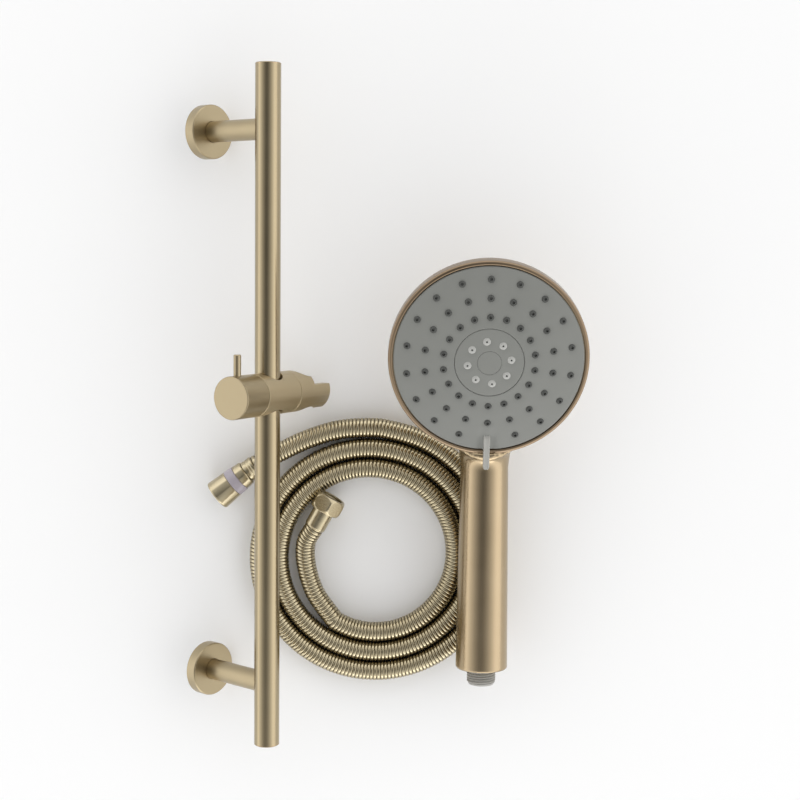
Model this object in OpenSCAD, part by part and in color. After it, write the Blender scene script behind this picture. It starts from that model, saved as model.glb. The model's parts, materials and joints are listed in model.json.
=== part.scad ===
// Hand shower kit laid out flat: slide rail with wall posts, sliding holder,
// hand shower and coiled metal hose.  Millimetres, +Z up from the table,
// +Y along the rail, origin under the middle of the rail and hand shower.

/* [Slide rail] */
// Overall length of the rail with its end caps
rail_length = 482; // [430:1:520]
// Outer diameter of the rail tube
rail_d = 18; // [17.6:0.1:18.4]
// Wall thickness of the rail tube
rail_wall = 1.2; // [1:0.1:1.6]
// Distance between the two wall posts
post_spacing = 392; // [360:1:400]

/* [Wall posts] */
// Distance from the wall to the rail's axis
wall_offset = 63.5; // [60:0.5:68]
// Diameter of a post
post_d = 15; // [14:0.5:16]
// Diameter of the round wall cover
cover_d = 38.6; // [37:0.2:42]
// Height of the round wall cover
cover_h = 8.3; // [8.3:0.1:10]
// Angle of the posts above the table
post_rise = 40; // [36:1:44]

/* [Slider] */
// Diameter of the slider, knob and holder
slider_d = 30; // [29:0.5:31]
// Place of the slider along the rail
slider_y = 11.6; // [0:0.2:120]
// Angle of the slider's axis below the table's level
slider_dip = 58; // [52:1:64]
// Clear width of the holder's slot
slot_w = 15.4; // [15:0.1:16]

/* [Hand shower] */
// Outer diameter of the shower head
head_d = 140; // [136:1:144]
// Tilt of the spray face towards the handle
head_tilt = 13; // [11:0.5:15]
// Diameter of the handle at its inlet end
handle_d_inlet = 37.6; // [36:0.2:38]
// Diameter of the handle at its neck
handle_d_neck = 34.1; // [33:0.1:35]
// Diameter of the inlet thread
inlet_d = 20.955; // [20.8:0.005:21]
// Length of the inlet thread
inlet_l = 12.3; // [11:0.1:14]
// Distance between the rail's axis and the handle's axis
handle_gap = 154.5; // [152:0.5:158]

/* [Hose] */
// Diameter of the metal hose
hose_d = 14.5; // [14:0.1:14.6]
// Outer radius of the coiled hose
coil_r_out = 99.5; // [99:0.1:100]
// Inner radius of the coiled hose's two outer turns
coil_r_in = 64.6; // [64.4:0.1:65]
// Width across the flats of the hexagonal nut
hex_af = 21.6; // [21.4:0.1:21.8]
// Length of the conical nut
cone_l = 28.5; // [27:0.5:30]

/* [Hidden] */
$fn = 96;

gap = 0.05;           // running clearance, radial
big = 400;            // longer than anything that is cut
bronze = "#b79f74";
grey = "#8c8f8a";
rubber = "#3c3e3c";
steel = "#b9b6ae";

rail_r = rail_d / 2;
rail_bore_r = rail_r - rail_wall;
cap_h = 1;
tube_l = rail_length - 2 * cap_h;
cover_r = cover_d / 2;
head_r = head_d / 2;
post_r = post_d / 2;
rail_x = (wall_offset * cos(post_rise) + cover_r * sin(post_rise)
    - handle_gap - head_r) / 2;
rail_z = wall_offset * sin(post_rise) + cover_r * cos(post_rise);

// Wall posts: the stub of the wall plate sits in the post, held by a grub screw
grub_at = 6;
grub_r = 2;
stub_r = 4.5;
stub_top = 14;
plate_r = 16.5;
plate_h = 3;
screw_hole_r = 2.25;
screw_circle_r = 12;
stud_r = 2.5;
insert_l = 18;
cover_skin = 1.2;

// Slider: places along its own axis, counted from the rail's axis
slider_r = slider_d / 2;
knob_face = -41.5;
knob_seam = -17;
holder_seam = 20.5;
holder_end = (rail_z - slider_r * cos(slider_dip)) / sin(slider_dip) - 0.1;
seam = 0.3;
liner_r = 10.5;
liner_l = 18.4;
boss_r = 9;
boss_top = -26;
shoe_r = 5;
shoe_top = -19;
spindle_r = 3;
lever_at = -34.3;
lever_r = 2.6;
lever_reach = 29.5;
bolt_r = 3;
counterbore_r = 6.2;
socket_at = 38.5;
socket_r = 9.6;
socket_mouth_r = 11.3;
socket_straight = 7;  // height above the middle where the socket starts to widen
bolt_head_top = 28.2;
notch_at = 38;
notch_floor = 4.8;

// Hand shower
handle_x = rail_x + handle_gap;
handle_z = 33.5;
inlet_y = -188.6;
handle_l = 158;
handle_edge = 0.8;
head_y = 38.3;
head_z = 70;
cavity_r = 66.8;
back_depth = 29;      // back of the head below its rim, at the middle
back_r = 152.5;       // radius of the domed back
skin = 2.2;
face_r = 66.4;
face_rise = 6;        // how far the spray face bulges
dome_r = (face_r * face_r + face_rise * face_rise) / (2 * face_rise);
face_skin = 2.4;
insert_r = 24.8;
cap_r = 9;
barrel_r = 13.9;
barrel_l = 24;
tube_r = 4.5;
boss_y = -59;
nozzle_rings = [[60.3, 17], [46.9, 18], [33.5, 18]];
centre_ring_r = 15;
centre_ring_turn = 8;
nozzle_hole_r = 1.75;
tab_w = 4.6;
tab_from = 54.3;
tab_to = 80.5;

// Hose
hose_r = hose_d / 2;
coil_x = -4.5;
coil_y = -109.5;
spiral_x = -8;
spiral_y = -112;
spiral_r0 = 94.6;     // centre line of the outermost turn, at the top
spiral_pitch = 14.7;
tube_sides = 10;
tail_steps = 10;
tail_start = 2;       // turn at which the sweep takes over from the closed ring
tail_stop = 2.58;
cone_r_wide = 11.3;
cone_r_narrow = 9.1;
nut_bore_r = 9.45;
band_bore_r = 9.1;
seat_r = 8.9;         // bore that the washer lies in, behind the thread
nipple_r = 6;
cone_from = [-100.4, -50.2, 11.7];
cone_turn = 219;      // direction of the conical nut in plan
hex_l = 12;
hex_mid = [-40.8, -73, 12.7];
hex_turn = 61;
hex_roll = 8;
ferrule_r = 7.9;
sleeve_outer = 8;
sleeve_inner = 14;

// Free end of the hose that lies under the rail, from the coil outwards
lead_route = [[-12, -17, 7.3], [-34, -19, 7.3], [-56, -26, 7.4],
    [-76, -35.5, 8.6], [-94.2, -45.2, 11.7]];
// Free end inside the coil, from its last turn to the hexagonal nut
tail_route = [[-38, -158, 7.3], [-50, -141, 7.4], [-56.5, -121, 8],
    [-57, -103, 10], [-50.6, -90.6, 12.7]];

function spiral_point(turn) = let (a = 90 - 360 * turn,
    r = spiral_r0 - spiral_pitch * turn)
    [spiral_x + r * cos(a), spiral_y + r * sin(a), hose_r + 0.05];

function unit(v) = v / norm(v);
function along(p, i) = unit(p[min(i + 1, len(p) - 1)] - p[max(i - 1, 0)]);
function ring_point(c, t, a, r) = let (s = unit(cross(t, [0, 0, 1])),
    u = cross(s, t)) c + r * (cos(a) * s + sin(a) * u);

// A round tube swept along route points, closed at both ends
module sweep(p, r) {
    n = tube_sides;
    last = (len(p) - 1) * n;
    points = [for (i = [0 : len(p) - 1]) for (k = [0 : n - 1])
        ring_point(p[i], along(p, i), 360 * k / n, r)];
    sides = [for (i = [0 : len(p) - 2]) for (k = [0 : n - 1])
        let (k2 = (k + 1) % n) each [
            [i * n + k, i * n + k2, (i + 1) * n + k],
            [i * n + k2, (i + 1) * n + k2, (i + 1) * n + k]]];
    ends = [[for (k = [0 : n - 1]) n - 1 - k], [for (k = [0 : n - 1]) last + k]];
    polyhedron(points, concat(sides, ends), convexity = 8);
}

// A tube or ring: outer radius, inner radius, from one height to another
module ring(r, bore, from, to) {
    translate([0, 0, from]) difference() {
        cylinder(r = r, h = to - from);
        if (bore > 0) translate([0, 0, -1]) cylinder(r = bore, h = to - from + 2);
    }
}

// A disc or rod from one height to another
module rod(r, from, to) translate([0, 0, from]) cylinder(r = r, h = to - from);

// A rod whose top edge is chamfered
module capped_rod(r, from, to, edge) {
    rod(r, from, to - edge);
    translate([0, 0, to - edge]) cylinder(r1 = r, r2 = r - edge, h = edge);
}

module place_on_rail() translate([rail_x, 0, rail_z]) rotate([-90, 0, 0]) children();
module place_on_post(side) translate([rail_x, side * post_spacing / 2, rail_z])
    rotate([0, 90 - post_rise, 0]) translate([0, 0, -wall_offset]) children();
module place_on_slider() translate([rail_x, slider_y, rail_z])
    rotate([0, 90 + slider_dip, 0]) children();
module place_on_handle() translate([handle_x, inlet_y, handle_z])
    rotate([-90, 0, 0]) children();
module place_on_head() translate([handle_x, head_y, head_z])
    rotate([head_tilt, 0, 0]) children();
module place_on_cone() translate(cone_from) rotate([0, 90, cone_turn]) children();
module place_on_hex() translate(hex_mid) rotate([0, 90, hex_turn]) children();

// ---- slide rail -------------------------------------------------------------

module rail_tube() color(bronze) difference() {
    place_on_rail() ring(rail_r, rail_bore_r, -tube_l / 2, tube_l / 2);
    for (side = [-1, 1]) place_on_post(side)
        rod(stud_r + 0.1, wall_offset - rail_r - 2, wall_offset - rail_bore_r + 3);
}

module rail_cap() {
    rod(rail_r, 0, cap_h / 2);
    translate([0, 0, cap_h / 2]) cylinder(r1 = rail_r, r2 = rail_r - cap_h / 2, h = cap_h / 2);
    rod(rail_bore_r - gap, -9, 0.1);
}
module rail_cap_top() color(bronze) place_on_rail()
    translate([0, 0, tube_l / 2]) rail_cap();
module rail_cap_bottom() color(bronze) place_on_rail()
    mirror([0, 0, 1]) translate([0, 0, tube_l / 2]) rail_cap();

module insert(side) difference() {
    translate([0, side * post_spacing / 2, 0]) place_on_rail()
        rod(rail_bore_r - gap, -insert_l / 2, insert_l / 2);
    place_on_post(side) rod(stud_r + gap, wall_offset - 20, wall_offset + 5);
}
module upper_insert() color(steel) insert(1);
module lower_insert() color(steel) insert(-1);

module stud(side) place_on_post(side) rod(stud_r, wall_offset - 24, wall_offset + 4);
module upper_stud() color(steel) stud(1);
module lower_stud() color(steel) stud(-1);

// ---- wall posts ---------------------------------------------------------------

module post(side) difference() {
    place_on_post(side) difference() {
        rod(post_r, plate_h + 0.1, wall_offset);
        rod(stub_r + gap, 0, stub_top + 1);
        rod(stud_r + gap, wall_offset - 25, wall_offset + 1);
        translate([0, 0, grub_at]) rotate([90, 0, 0]) rod(grub_r + gap, 0, post_r + 1);
    }
    translate([0, side * post_spacing / 2, 0]) place_on_rail() rod(rail_r + gap, -20, 20);
}
module upper_post() color(bronze) post(1);
module lower_post() color(bronze) post(-1);

module bracket(side) place_on_post(side) {
    difference() {
        rod(plate_r, 0, plate_h);
        for (k = [-1, 1]) translate([0, screw_circle_r * k, 0])
            rod(screw_hole_r, -1, plate_h + 1);
    }
    rod(stub_r, plate_h - 0.5, stub_top);
}
module upper_bracket() color(steel) bracket(1);
module lower_bracket() color(steel) bracket(-1);

module grub_screw(side) place_on_post(side) translate([0, 0, grub_at])
    rotate([90, 0, 0]) difference() {
        rod(grub_r, stub_r + gap, post_r - 0.5);
        translate([0, 0, post_r - 2]) cylinder(r = 1.15, h = 2, $fn = 6);
    }
module upper_grub_screw() color(steel) grub_screw(1);
module lower_grub_screw() color(steel) grub_screw(-1);

module cover(side) place_on_post(side) difference() {
    capped_rod(cover_r, 0, cover_h, 0.6);
    rod(cover_r - cover_skin, -1, cover_h - cover_skin);
    rod(post_r + gap, 0, cover_h + 1);
}
module upper_cover() color(bronze) cover(1);
module lower_cover() color(bronze) cover(-1);

module cover_ring(side) place_on_post(side)
    ring(post_r + 2.2, post_r + gap, cover_h - 2.9, cover_h - cover_skin - gap);
module upper_cover_ring() color(rubber) cover_ring(1);
module lower_cover_ring() color(rubber) cover_ring(-1);

// ---- slider -------------------------------------------------------------------

module rail_liner() color(grey) translate([0, slider_y, 0]) place_on_rail()
    difference() {
        ring(liner_r, rail_r + gap, -liner_l / 2, liner_l / 2);
        translate([0, -1, -liner_l]) cube([liner_r + 1, 2, 2 * liner_l]);
    }

module slider_body() color(bronze) difference() {
    place_on_slider() difference() {
        union() {
            rod(slider_r, knob_seam, holder_seam);
            rod(boss_r, boss_top, knob_seam + 1);
        }
        rod(spindle_r + gap, boss_top - 1, 0);
        rod(shoe_r + gap, shoe_top, 0);
        rod(bolt_r + gap, 5, holder_seam + 1);
        ring(10.2, 7.8, holder_seam - 1.5, holder_seam + 1);
    }
    translate([0, slider_y, 0]) place_on_rail() rod(liner_r + gap, -20, 20);
}

module brake_shoe() color(grey) difference() {
    place_on_slider() rod(shoe_r, shoe_top + 0.4, -5);
    translate([0, slider_y, 0]) place_on_rail() rod(liner_r + 0.3, -20, 20);
}

module lock_knob() color(bronze) place_on_slider() difference() {
    union() {
        rod(slider_r, knob_face + 0.5, knob_seam - seam);
        translate([0, 0, knob_face]) cylinder(r1 = slider_r - 0.5, r2 = slider_r, h = 0.5);
    }
    rod(boss_r + 0.5, boss_top - 1, 0);
    rod(spindle_r, boss_top - 7, 0);
    translate([0, 0, lever_at]) rotate([-90, 0, 0]) rod(lever_r, 6, slider_r + 1);
}

module lock_spindle() color(steel) place_on_slider()
    rod(spindle_r, boss_top - 7, shoe_top + 0.3);

module lock_lever() color(bronze) place_on_slider() translate([0, 0, lever_at])
    rotate([-90, 0, 0]) capped_rod(lever_r, 6, lever_reach, 0.5);

module holder() color(bronze) place_on_slider() difference() {
    rod(slider_r, holder_seam + seam, holder_end);
    rod(bolt_r + gap, holder_seam, bolt_head_top);
    rod(counterbore_r, bolt_head_top - 3, socket_at - 5);
    ring(10.2, 7.8, holder_seam, holder_seam + 1.5);
    translate([0, 0, socket_at]) rotate([90, 0, 0]) rotate_extrude()
        polygon([[0, -slider_r - 1], [socket_mouth_r, -slider_r - 1],
            [socket_mouth_r, -slider_r], [socket_r, -socket_straight],
            [socket_r, slider_r + 1], [0, slider_r + 1]]);
    translate([-slot_w / 2, -slider_r - 1, socket_at]) cube([slot_w, 2 * slider_r + 2, 30]);
    translate([-slider_r - 1, notch_floor, notch_at]) cube([2 * slider_r + 2, slider_r, 30]);
}

module holder_bolt() color(steel) place_on_slider() difference() {
    union() {
        rod(bolt_r, 12.5, bolt_head_top - 1.5);
        rod(5.2, bolt_head_top - 1.5, bolt_head_top);
    }
    translate([0, 0, bolt_head_top - 1.2]) cylinder(r = 2, h = 2, $fn = 6);
}

module holder_washer() color(steel) place_on_slider()
    ring(6, bolt_r + gap, bolt_head_top - 2.9, bolt_head_top - 1.55);

module holder_ring() color(rubber) place_on_slider()
    ring(10.1, 7.9, holder_seam - 1.4, holder_seam + 1.2);

// ---- hand shower ----------------------------------------------------------------

// Domed body of the head, shrunk by the skin for its inside
module head_form(r, inset) intersection() {
    translate([0, 0, back_r - back_depth]) sphere(r = back_r - inset, $fn = 200);
    rod(r, -big, inset);
}

module handle_form() {
    cylinder(r1 = handle_d_inlet / 2 - handle_edge, r2 = handle_d_inlet / 2, h = handle_edge);
    translate([0, 0, handle_edge]) cylinder(r1 = handle_d_inlet / 2, r2 = handle_d_neck / 2,
        h = handle_l - handle_edge);
}

// Keel that carries the handle into the back of the head
module neck_form() hull() {
    place_on_handle() translate([0, 0, handle_l - 8])
        cylinder(r = handle_d_neck / 2, h = 2, $fn = 40);
    translate([handle_x, -17, 36]) sphere(r = 15, $fn = 32);
    place_on_head() translate([0, -14, -20]) cylinder(r = 20, h = 5, $fn = 32);
}

module handset_shell() color(bronze) difference() {
    union() {
        place_on_head() head_form(head_r, 0);
        place_on_handle() handle_form();
        neck_form();
    }
    place_on_head() head_form(cavity_r, skin);
    place_on_head() translate([0, boss_y, 0]) rod(8, -31, 1);
    place_on_handle() rod(barrel_r + gap, -1, handle_l);
    place_on_handle() rod(10, handle_l - 1, handle_l + 14);
}

module inlet_connector() color(grey) place_on_handle() difference() {
    union() {
        rod(inlet_d / 2, -inlet_l, 0);
        rod(barrel_r, 0, barrel_l);
    }
    rod(6, -inlet_l - 1, barrel_l - 6);
    rod(tube_r + gap, 0, barrel_l + 1);
    rod(8.6, -inlet_l - 1, -inlet_l + 3);
    ring(barrel_r + 1, 12.4, 10.9, 13.6);
}

module inlet_o_ring() color(rubber) place_on_handle() ring(barrel_r, 12.45, 11, 13.5);

module filter_washer() color(rubber) place_on_handle() {
    ring(8.5, 5, -inlet_l + 0.6, -inlet_l + 2.9);
    for (k = [0 : 3]) rotate([0, 0, 45 * k])
        translate([-5.2, -0.25, -inlet_l + 2.2]) cube([10.4, 0.5, 0.6]);
}

module water_tube() color(grey) place_on_handle() ring(tube_r, 3.2, barrel_l - 5, 171);

module head_chassis() color(grey) difference() {
    place_on_head() {
        rod(cavity_r - 0.2, -9, -6);
        rod(6, -6.5, 1);
        translate([0, boss_y, 0]) rod(7.4, -30, -8);
    }
    place_on_head() rod(2, -8, 2);
    place_on_head() translate([0, boss_y, 0]) rod(3.2, -25, 0);
    place_on_handle() rod(tube_r + gap, 160, 172);
}

module head_seal() color(rubber) place_on_head() ring(cavity_r - 0.1, 64.6, -5.95, -4.4);

module diverter_disc() color(grey) place_on_head() difference() {
    ring(60, 6.5, -5.8, -4);
    for (k = [0 : 5]) rotate([0, 0, 60 * k]) translate([40, 0, 0]) rod(4, -7, -3);
}

// The bulging outer skin between two heights below the dome
module dome_skin(r, inset) intersection() {
    translate([0, 0, face_rise - dome_r - inset]) sphere(r = dome_r, $fn = 400);
    rod(r, -3.9, 20);
}

module tab_bar() {
    translate([-tab_w / 2, -tab_to + tab_w / 2, 0.5])
        cube([tab_w, tab_to - tab_from - tab_w / 2, 2.9]);
    translate([0, -tab_to + tab_w / 2, 0]) rod(tab_w / 2, 0.5, 3.4);
}

function dome_height(r) = face_rise - dome_r + sqrt(dome_r * dome_r - r * r);

// Children at each nozzle of a ring; a ring of 17 leaves room for the tab
module around_ring(r, count) for (k = [0 : count - 1])
    rotate([0, 0, 90 + 20 * (count == 17 ? k - 8 : k)]) translate([r, 0, dome_height(r)])
        children();

module around_centre() for (k = [0 : 7])
    rotate([0, 0, 90 + centre_ring_turn + 45 * k])
        translate([centre_ring_r, 0, dome_height(centre_ring_r)]) children();

module nozzle(tip_r) rotate_extrude($fn = 24) polygon([[0.6, -2.4],
    [nozzle_hole_r - 0.05, -2.4], [nozzle_hole_r - 0.05, 0.1], [tip_r, 0.1],
    [tip_r - 0.5, 1.2], [0.6, 1.2]]);

module spray_face() color(grey) place_on_head() difference() {
    dome_skin(face_r, 0);
    dome_skin(face_r - 2.4, face_skin);
    rod(insert_r + 0.3, -5, 10);
    for (r = nozzle_rings) around_ring(r[0], r[1]) rod(nozzle_hole_r, -5, 5);
    tab_bar();
}

module nozzles(i) color(rubber) place_on_head()
    around_ring(nozzle_rings[i][0], nozzle_rings[i][1]) nozzle(2.4);
module nozzles_outer() nozzles(0);
module nozzles_middle() nozzles(1);
module nozzles_inner() nozzles(2);

module mode_tab() color("#b4b4ac") place_on_head() tab_bar();

module centre_insert() color(grey) place_on_head() difference() {
    union() {
        difference() {
            dome_skin(insert_r, 0);
            dome_skin(insert_r - 2, 2.6);
        }
        ring(6, 2.1, 1.05, 4);
    }
    rod(2.1, -5, 10);
    rod(4, 2.4, 10);
    rod(cap_r + 0.1, 4.4, 10);
    around_centre() rod(nozzle_hole_r, -5, 5);
}

module centre_nozzles() color("#b4b4ac") place_on_head() around_centre() nozzle(2.1);

module centre_screw() color(steel) place_on_head() difference() {
    union() {
        rod(1.9, -5, 2.5);
        rod(3.6, 2.45, 4.3);
    }
    translate([0, 0, 3]) cylinder(r = 1.4, h = 2, $fn = 6);
}

module centre_cap() color(grey) place_on_head() capped_rod(cap_r, 4.45, 6.4, 0.4);

// ---- hose -----------------------------------------------------------------------

// Two outer turns of the coil, as one closed ring with round edges
module hose_coil() color(bronze) translate([coil_x, coil_y, hose_r + 0.05])
    rotate_extrude() {
        translate([coil_r_in + hose_r, -hose_r])
            square([coil_r_out - coil_r_in - hose_d, hose_d]);
        translate([coil_r_in + hose_r, 0]) circle(r = hose_r);
        translate([coil_r_out - hose_r, 0]) circle(r = hose_r);
    }

module hose_lead() color(bronze) sweep(lead_route, hose_r);

// Third turn of the coil, then the free end
module hose_tail() color(bronze) sweep(concat(
    [for (i = [0 : tail_steps])
        spiral_point(tail_start + (tail_stop - tail_start) * i / tail_steps)],
    tail_route), hose_r);

// Crimp sleeve and nipple; the nipple's head is held inside the nut
module ferrule(sleeve, neck) difference() {
    union() {
        rod(ferrule_r, -sleeve, -seam);
        rod(nipple_r, -1, neck + 2);
        rod(8, neck + 0.1, neck + 2);
    }
    rod(4, -sleeve - 1, neck + 3);
}
module outer_ferrule() color(bronze) place_on_cone() ferrule(sleeve_outer, 4);
module inner_ferrule() color(bronze) place_on_hex()
    translate([0, 0, -hex_l / 2]) ferrule(sleeve_inner, 2);

module cone_nut() color(bronze) place_on_cone() difference() {
    cylinder(r1 = cone_r_narrow, r2 = cone_r_wide, h = cone_l);
    rod(nipple_r + gap, -1, 5);
    rod(8.2, 4, 15);
    rod(seat_r, 14.6, 16.6);
    rod(nut_bore_r, 16.5, cone_l + 1);
    ring(13, band_bore_r, 6.8, 13.8);
}

module cone_nut_band() color("#b3abb5") place_on_cone() difference() {
    translate([0, 0, 6.85]) cylinder(r1 = 9.9, r2 = 10.5, h = 6.9);
    rod(band_bore_r, 6, 15);
}

module cone_washer() color(rubber) place_on_cone()
    ring(seat_r - 0.1, 5, 14.65, 16.45);

module hex_nut() color(bronze) place_on_hex() difference() {
    intersection() {
        rotate([0, 0, hex_roll]) translate([0, 0, -hex_l / 2])
            cylinder(r = hex_af / sqrt(3), h = hex_l, $fn = 6);
        translate([0, 0, -hex_l / 2]) cylinder(r1 = hex_af / 2 + 0.3,
            r2 = hex_af / 2 + 0.3 + 2 * hex_l, h = hex_l);
        translate([0, 0, -hex_l / 2]) cylinder(r1 = hex_af / 2 + 0.6 + 2 * hex_l,
            r2 = hex_af / 2 + 0.6, h = hex_l);
    }
    translate([0, 0, -hex_l / 2]) {
        rod(nipple_r + gap, -1, 3);
        rod(8.2, 2, 5);
        rod(seat_r, 4.4, 6.1);
        rod(nut_bore_r, 6, hex_l + 1);
    }
}

module hex_washer() color(rubber) place_on_hex()
    translate([0, 0, -hex_l / 2]) ring(seat_r - 0.1, 5, 4.45, 5.95);

rail_tube();
rail_cap_top();
rail_cap_bottom();
upper_insert();
lower_insert();
upper_stud();
lower_stud();
upper_post();
lower_post();
upper_bracket();
lower_bracket();
upper_grub_screw();
lower_grub_screw();
upper_cover();
lower_cover();
upper_cover_ring();
lower_cover_ring();
rail_liner();
slider_body();
brake_shoe();
lock_knob();
lock_spindle();
lock_lever();
holder();
holder_bolt();
holder_washer();
holder_ring();
handset_shell();
inlet_connector();
inlet_o_ring();
filter_washer();
water_tube();
head_chassis();
head_seal();
diverter_disc();
spray_face();
nozzles_outer();
nozzles_middle();
nozzles_inner();
mode_tab();
centre_insert();
centre_nozzles();
centre_screw();
centre_cap();
hose_coil();
hose_lead();
hose_tail();
outer_ferrule();
inner_ferrule();
cone_nut();
cone_nut_band();
cone_washer();
hex_nut();
hex_washer();
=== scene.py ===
# %% [markdown]
# # A hand shower kit, laid out flat
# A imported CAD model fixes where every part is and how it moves. This lesson gives it its looks: meshes
# worked out as whole arrays with numpy, and finishes built from nodes. Everything is in metres, with +Z
# up from the table.

# %% Load the frame
import json

import bmesh
import bpy
import numpy as np
from mathutils import Matrix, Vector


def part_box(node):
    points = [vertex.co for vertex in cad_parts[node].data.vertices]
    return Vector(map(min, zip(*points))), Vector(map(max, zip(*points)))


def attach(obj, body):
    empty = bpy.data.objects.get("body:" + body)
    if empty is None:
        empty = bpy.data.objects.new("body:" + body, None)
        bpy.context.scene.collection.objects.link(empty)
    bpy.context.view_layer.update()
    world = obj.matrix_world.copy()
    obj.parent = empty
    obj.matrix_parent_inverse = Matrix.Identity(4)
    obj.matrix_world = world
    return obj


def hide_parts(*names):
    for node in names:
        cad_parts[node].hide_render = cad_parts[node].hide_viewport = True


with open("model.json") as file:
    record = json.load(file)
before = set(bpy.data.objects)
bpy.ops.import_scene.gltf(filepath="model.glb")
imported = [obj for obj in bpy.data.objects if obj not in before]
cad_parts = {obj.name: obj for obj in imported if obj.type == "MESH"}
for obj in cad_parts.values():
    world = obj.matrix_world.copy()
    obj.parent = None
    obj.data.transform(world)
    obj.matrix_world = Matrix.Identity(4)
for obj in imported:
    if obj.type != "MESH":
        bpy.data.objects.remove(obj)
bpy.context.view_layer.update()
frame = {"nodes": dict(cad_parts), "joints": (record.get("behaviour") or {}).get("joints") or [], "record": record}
joints = {j["name"]: j for j in frame["joints"]}
MM = 0.001

# %% Camera
DISTANCE, LEAN, ROLL = 1.150, np.radians(5.5), np.radians(0.6)
TARGET = np.array([0.0115, 0.003, 0.0])


def camera_matrix(target, distance, lean, roll):
    """Back points from target to camera, lean radians off the vertical towards +Y.  Right and up are
    turned by roll about back.  The four columns are right, up, back and the camera's place."""
    back = np.array([0, np.sin(lean), np.cos(lean)])
    right, up = np.array([1.0, 0, 0]), np.cross(back, [1.0, 0, 0])
    m = np.eye(4)
    m[:3, 0] = np.cos(roll) * right + np.sin(roll) * up
    m[:3, 1] = np.cos(roll) * up - np.sin(roll) * right
    m[:3, 2], m[:3, 3] = back, target + distance * back
    return Matrix(m.tolist())


camera_data = bpy.data.cameras.new("camera")
camera_data.lens, camera_data.sensor_width = 70, 36
camera = bpy.data.objects.new("camera", camera_data)
bpy.context.scene.collection.objects.link(camera)
camera.matrix_world = camera_matrix(TARGET, DISTANCE, LEAN, ROLL)
bpy.context.scene.camera = camera
print("camera at", tuple(round(x, 4) for x in camera.location))

# %% [markdown]
# ## Meshes from arrays
# Every new piece is a grid of points: one direction goes round or across it, the other along it.  One
# helper turns such a grid into a mesh, and optionally closes it in either direction or fills its ends.
# The doubled points at poles are merged, and the normals are then made to point outwards.

# %% Grid to mesh
def grid_faces(rows, columns, wrap_rows, wrap_columns):
    """The quads between neighbours of a rows x columns grid, as indices; a wrapped direction joins its
    last line to its first."""
    i = np.arange(rows if wrap_rows else rows - 1)[:, None]
    k = np.arange(columns if wrap_columns else columns - 1)[None, :]
    i2, k2 = (i + 1) % rows, (k + 1) % columns
    a, b = i * columns + k, i * columns + k2
    c, d = i2 * columns + k2, i2 * columns + k
    return np.stack([a, b, c, d], axis=-1).reshape(-1, 4)


def link(mesh, name, sharp=35):
    """A new object with smooth shading, whose edges over sharp degrees stay crisp."""
    mesh.polygons.foreach_set("use_smooth", np.ones(len(mesh.polygons), bool))
    mesh.set_sharp_from_angle(angle=np.radians(sharp))
    piece = bpy.data.objects.new(name, mesh)
    bpy.context.scene.collection.objects.link(piece)
    return piece


def tidy_mesh(mesh, fill=False):
    """Merges doubled points, closes open ends if fill is set, and turns all faces outwards."""
    bm = bmesh.new()
    bm.from_mesh(mesh)
    bmesh.ops.remove_doubles(bm, verts=bm.verts, dist=2e-7)
    if fill:
        bmesh.ops.holes_fill(bm, edges=[e for e in bm.edges if e.is_boundary], sides=0)
    bmesh.ops.recalc_face_normals(bm, faces=bm.faces)
    bm.to_mesh(mesh)
    bm.free()


def piece_from_grids(name, grids, sharp=35, fill=False, depth=None):
    """One piece from several grids, each (points, wrap_rows, wrap_columns).  depth, if given, is one number
    for each point, kept as an attribute for the material."""
    points, faces, start = [], [], 0
    for grid, wrap_rows, wrap_columns in grids:
        rows, columns = grid.shape[:2]
        points.append(grid.reshape(-1, 3))
        faces.append(grid_faces(rows, columns, wrap_rows, wrap_columns) + start)
        start += rows * columns
    mesh = bpy.data.meshes.new(name)
    mesh.from_pydata(np.concatenate(points), [], np.concatenate(faces))
    if depth is not None:
        mesh.attributes.new("depth", "FLOAT", "POINT").data.foreach_set("value", np.ravel(depth))
    tidy_mesh(mesh, fill)
    return link(mesh, name, sharp)


# %% Frames and turned shapes
def axes_of(direction, side=(0, 0, 1)):
    """Three unit columns: two across direction, the first of them square to side, and direction."""
    d = np.array(direction, float) / np.linalg.norm(direction)
    s = np.cross(side, d)
    if np.linalg.norm(s) < 1e-6:
        s = np.cross((0, 1, 0), d)
    s /= np.linalg.norm(s)
    return np.stack([s, np.cross(d, s), d], axis=1)


def put(points, origin, axes):
    """Points in a piece's own axes, moved to its place."""
    return points @ axes.T + np.array(origin, float)


def circle_of(count):
    """The angles of count columns round an axis."""
    return np.linspace(0, 2 * np.pi, count, endpoint=False)


def turned(profile, origin, axes, count=96, shape=None):
    """A profile of (radius, height) carried round the axis: x = r cos a, y = r sin a, z = height.
    shape(r, z, a), if given, changes the radius as a function of place."""
    r, z = np.array(profile, float).T
    a = circle_of(count)[None, :]
    r, z = r[:, None] + 0 * a, z[:, None] + 0 * a
    if shape is not None:
        r = shape(r, z, a)
    return put(np.stack([r * np.cos(a), r * np.sin(a), z], axis=-1), origin, axes)


def rounded(corners, radius, steps=4):
    """A profile whose inner corners are cut by a quadratic curve: each corner p becomes the curve from
    the point radius before it to the point radius after it, pulled towards p."""
    out = [np.array(corners[0], float)]
    for before, at, after in zip(corners, corners[1:], corners[2:]):
        before, at, after = (np.array(p, float) for p in (before, at, after))
        one, two = before - at, after - at
        reach = min(radius, 0.45 * np.linalg.norm(one), 0.45 * np.linalg.norm(two))
        one, two = at + one / np.linalg.norm(one) * reach, at + two / np.linalg.norm(two) * reach
        t = np.linspace(0, 1, steps + 1)[:, None]
        out += list((1 - t) ** 2 * one + 2 * t * (1 - t) * at + t**2 * two)
    return np.array(out + [np.array(corners[-1], float)])


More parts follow.
